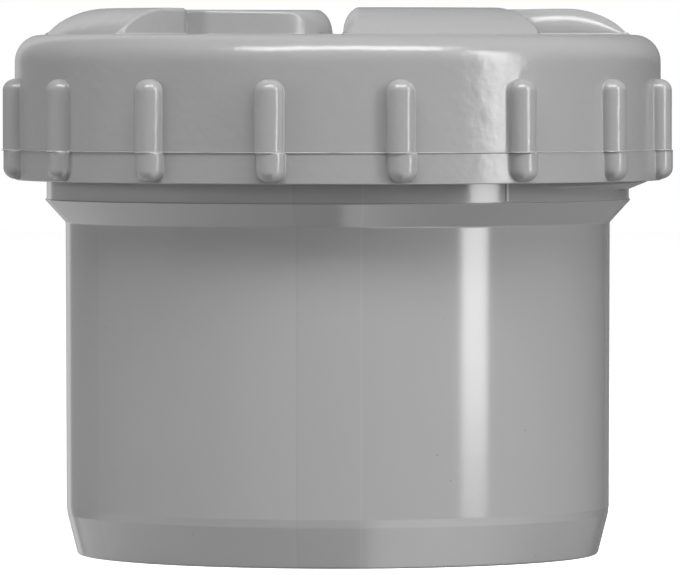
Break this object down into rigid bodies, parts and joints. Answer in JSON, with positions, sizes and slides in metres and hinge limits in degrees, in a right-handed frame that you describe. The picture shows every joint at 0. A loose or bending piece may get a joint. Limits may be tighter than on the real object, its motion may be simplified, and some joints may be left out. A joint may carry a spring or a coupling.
{
  "type": "threaded pipe cap",
  "caption": "Screwed access cap on a plain chamfered spigot for 110 mm soil pipe, with grip ribs, raised grips on top and a sealing ring.",
  "frame": {"origin": "centre of the spigot's open end, in the plane that it stands on", "axes": "+Z along the pipe's axis from the open end to the cap; -Y is the side that the picture shows"},
  "size_m": [0.1344, 0.1344, 0.1101],
  "materials": {
    "spigot_pvc": "moulded grey PVC, semi-gloss",
    "cap_pvc": "moulded grey PVC, semi-gloss with a faint orange peel",
    "seal_rubber": "matt black EPDM rubber"
  },
  "bodies": {
    "spigot": {"spigot_body": "spigot_pvc"},
    "seal": {"seal_ring": "seal_rubber"},
    "cap": {"screw_cap": "cap_pvc"}
  },
  "joints": [
    {"name": "cap_lift", "type": "slide", "parent": "spigot", "child": "seal", "axis": [0, 0, 1], "range_m": [0, 0.0281]},
    {"name": "cap_turn", "type": "hinge", "parent": "seal", "child": "cap", "pos_m": [0, 0, 0.09], "axis": [0, 0, 1], "range_deg": [0, 1260]}
  ],
  "couplings": [
    {"joint": "cap_lift", "follows": "cap_turn", "m_per_rad": 0.0012732}
  ]
}
